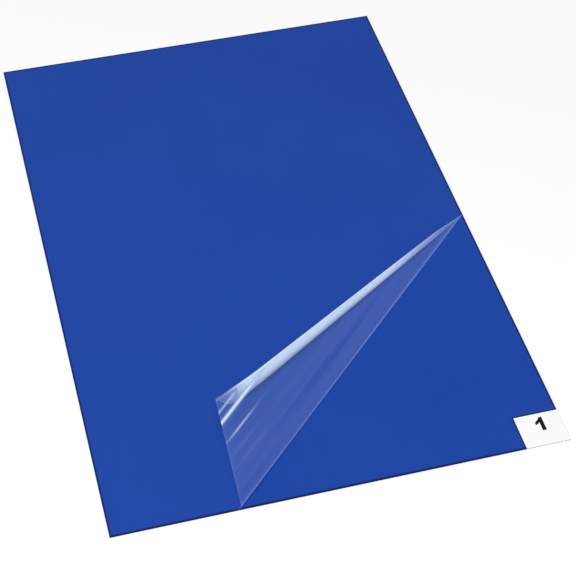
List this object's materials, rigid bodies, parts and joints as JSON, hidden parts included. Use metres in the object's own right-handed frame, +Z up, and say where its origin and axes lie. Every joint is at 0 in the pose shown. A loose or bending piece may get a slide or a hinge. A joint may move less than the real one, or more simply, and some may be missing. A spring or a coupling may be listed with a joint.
{
  "type": "cleanroom sticky mat",
  "caption": "Thin stack of tacky blue polyethylene sheets with a numbered white corner tab and a clear cover film peeled back from one corner.",
  "frame": {"origin": "middle of the mat's underside, on the floor", "axes": "+X along the width towards the right edge, +Y along the length away from the numbered corner, +Z up from the floor"},
  "size_m": [0.6, 0.9, 0.0222],
  "materials": {
    "tacky_sheet": "smooth blue polyethylene film with a clear tacky coat",
    "backing": "plain blue polyethylene sheet with a floor adhesive on its underside",
    "release_film": "clear release film",
    "number_tab": "white printed film label",
    "cover_film": "clear glossy polyethylene film"
  },
  "bodies": {
    "root": {"release_film": "release_film", "backing_sheet": "backing", "number_tab_01": "number_tab", "number_tabs_02_to_30": "number_tab", "cover_film": "cover_film", "sheet_01": "tacky_sheet", "sheet_02": "tacky_sheet", "sheet_03": "tacky_sheet", "sheet_04": "tacky_sheet", "sheet_05": "tacky_sheet", "sheet_06": "tacky_sheet", "sheet_07": "tacky_sheet", "sheet_08": "tacky_sheet", "sheet_09": "tacky_sheet", "sheet_10": "tacky_sheet", "sheet_11": "tacky_sheet", "sheet_12": "tacky_sheet", "sheet_13": "tacky_sheet", "sheet_14": "tacky_sheet", "sheet_15": "tacky_sheet", "sheet_16": "tacky_sheet", "sheet_17": "tacky_sheet", "sheet_18": "tacky_sheet", "sheet_19": "tacky_sheet", "sheet_20": "tacky_sheet", "sheet_21": "tacky_sheet", "sheet_22": "tacky_sheet", "sheet_23": "tacky_sheet", "sheet_24": "tacky_sheet", "sheet_25": "tacky_sheet", "sheet_26": "tacky_sheet", "sheet_27": "tacky_sheet", "sheet_28": "tacky_sheet", "sheet_29": "tacky_sheet", "sheet_30": "tacky_sheet"}
  },
  "joints": []
}
